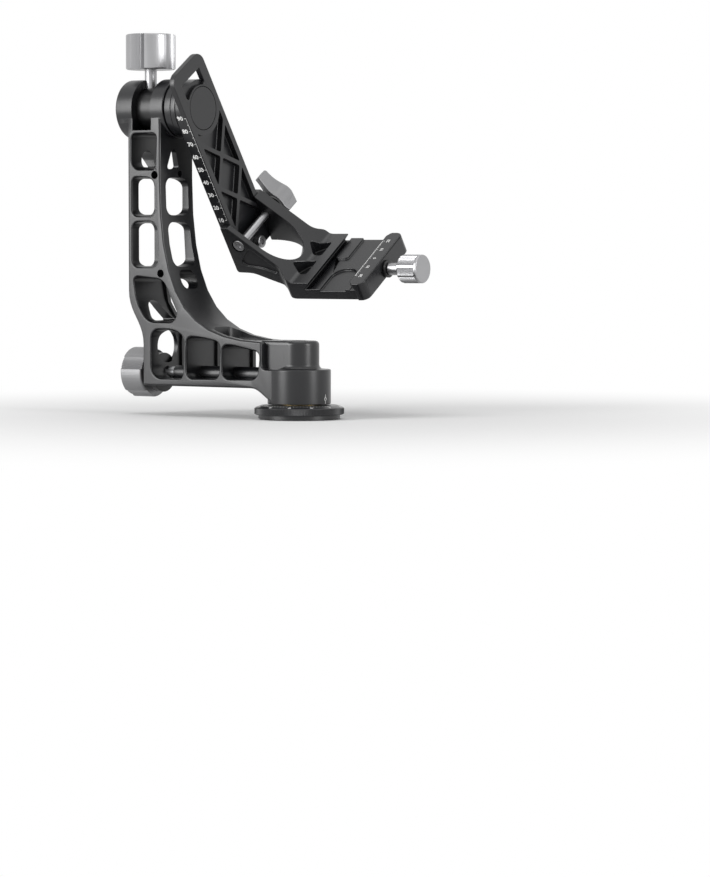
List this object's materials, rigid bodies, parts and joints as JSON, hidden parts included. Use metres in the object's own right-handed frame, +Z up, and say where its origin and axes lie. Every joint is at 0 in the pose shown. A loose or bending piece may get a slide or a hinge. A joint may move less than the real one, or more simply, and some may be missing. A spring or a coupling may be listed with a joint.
{
  "type": "gimbal tripod head",
  "caption": "Gimbal tripod head: L-shaped skeleton arm on a panning base, tilting swing plate, height-adjustable cradle and dovetail clamp.",
  "frame": {"origin": "centre of the base disc's underside, on the pan axis, where the tripod screw enters", "axes": "+Z up along the pan axis; the arm runs towards -X; the tilt axis is parallel to X"},
  "size_m": [0.184, 0.1316, 0.2509],
  "materials": {
    "anodised_black": "satin black anodised",
    "anodised_dark": "dark anodised",
    "bright_aluminium": "polished",
    "grey_aluminium": "matte blasted",
    "steel": "turned",
    "brass": "turned"
  },
  "bodies": {
    "base": {"base_disc": "anodised_black", "tripod_thread_bush": "steel", "pan_spindle": "steel", "base_screw_1": "steel", "base_screw_2": "steel", "base_screw_3": "steel", "spindle_nut": "steel"},
    "arm": {"arm_frame": "anodised_black", "pan_thrust_washer": "brass", "pan_bearing_lower": "steel", "pan_bearing_upper": "steel", "spindle_cover": "anodised_black", "tilt_sleeve": "anodised_dark", "tilt_bearing_outer": "steel", "tilt_bearing_inner": "steel", "tilt_thrust_ring": "anodised_black", "tilt_end_cap": "anodised_black", "tilt_brake_pad": "brass", "pan_brake_pad": "brass"},
    "tilt_lock": {"tilt_knob": "bright_aluminium", "tilt_knob_rod": "bright_aluminium"},
    "pan_lock": {"pan_knob": "grey_aluminium", "pan_knob_collar": "anodised_dark", "pan_knob_rod": "steel"},
    "swing": {"swing_plate": "anodised_black", "swing_hub": "anodised_black", "hub_screw_1": "steel", "hub_screw_2": "steel", "hub_screw_3": "steel", "tilt_axle": "steel", "axle_retainer": "steel", "axle_bolt": "steel", "hub_cap": "anodised_black", "plate_stop_screw": "bright_aluminium"},
    "cradle": {"cradle_bracket": "anodised_black", "cradle_lock_bolt": "bright_aluminium", "plate_brake_shoe": "brass", "lever_washer": "anodised_dark"},
    "height_lock": {"height_lever": "grey_aluminium"},
    "jaw": {"moving_jaw": "anodised_black", "jaw_guide_pin_1": "steel", "jaw_guide_pin_2": "steel"},
    "clamp_drive": {"clamp_thrust_washer": "anodised_dark", "clamp_screw": "bright_aluminium", "clamp_knob": "bright_aluminium"}
  },
  "joints": [
    {"name": "pan", "type": "hinge", "parent": "base", "child": "arm", "pos_m": [0, 0, 0.0085], "axis": [0, 0, 1], "continuous": true},
    {"name": "tilt", "type": "hinge", "parent": "arm", "child": "swing", "pos_m": [-0.08, 0, 0.2014], "axis": [1, 0, 0], "continuous": true},
    {"name": "tilt_lock_turn", "type": "hinge", "parent": "arm", "child": "tilt_lock", "pos_m": [-0.1195, 0, 0.239], "axis": [0, 0, 1], "range_deg": [0, 360]},
    {"name": "pan_lock_turn", "type": "hinge", "parent": "arm", "child": "pan_lock", "pos_m": [-0.125, 0, 0.0275], "axis": [-1, 0, 0], "range_deg": [0, 360]},
    {"name": "cradle_height", "type": "slide", "parent": "swing", "child": "cradle", "axis": [0, -0.5664, 0.8241], "range_m": [-0.004, 0.08]},
    {"name": "height_lock_turn", "type": "hinge", "parent": "cradle", "child": "height_lock", "pos_m": [-0.0728, 0.08032, 0.14279], "axis": [0, 0.8241, 0.5664], "range_deg": [0, 120]},
    {"name": "jaw_slide", "type": "slide", "parent": "cradle", "child": "jaw", "axis": [1, 0, 0], "range_m": [0, 0.0069]},
    {"name": "clamp_knob_turn", "type": "hinge", "parent": "jaw", "child": "clamp_drive", "pos_m": [0.04, 0.07233, 0.09616], "axis": [1, 0, 0], "range_deg": [0, 1260]}
  ],
  "couplings": [
    {"joint": "clamp_knob_turn", "follows": "jaw_slide", "rad_per_m": 3141.6}
  ]
}
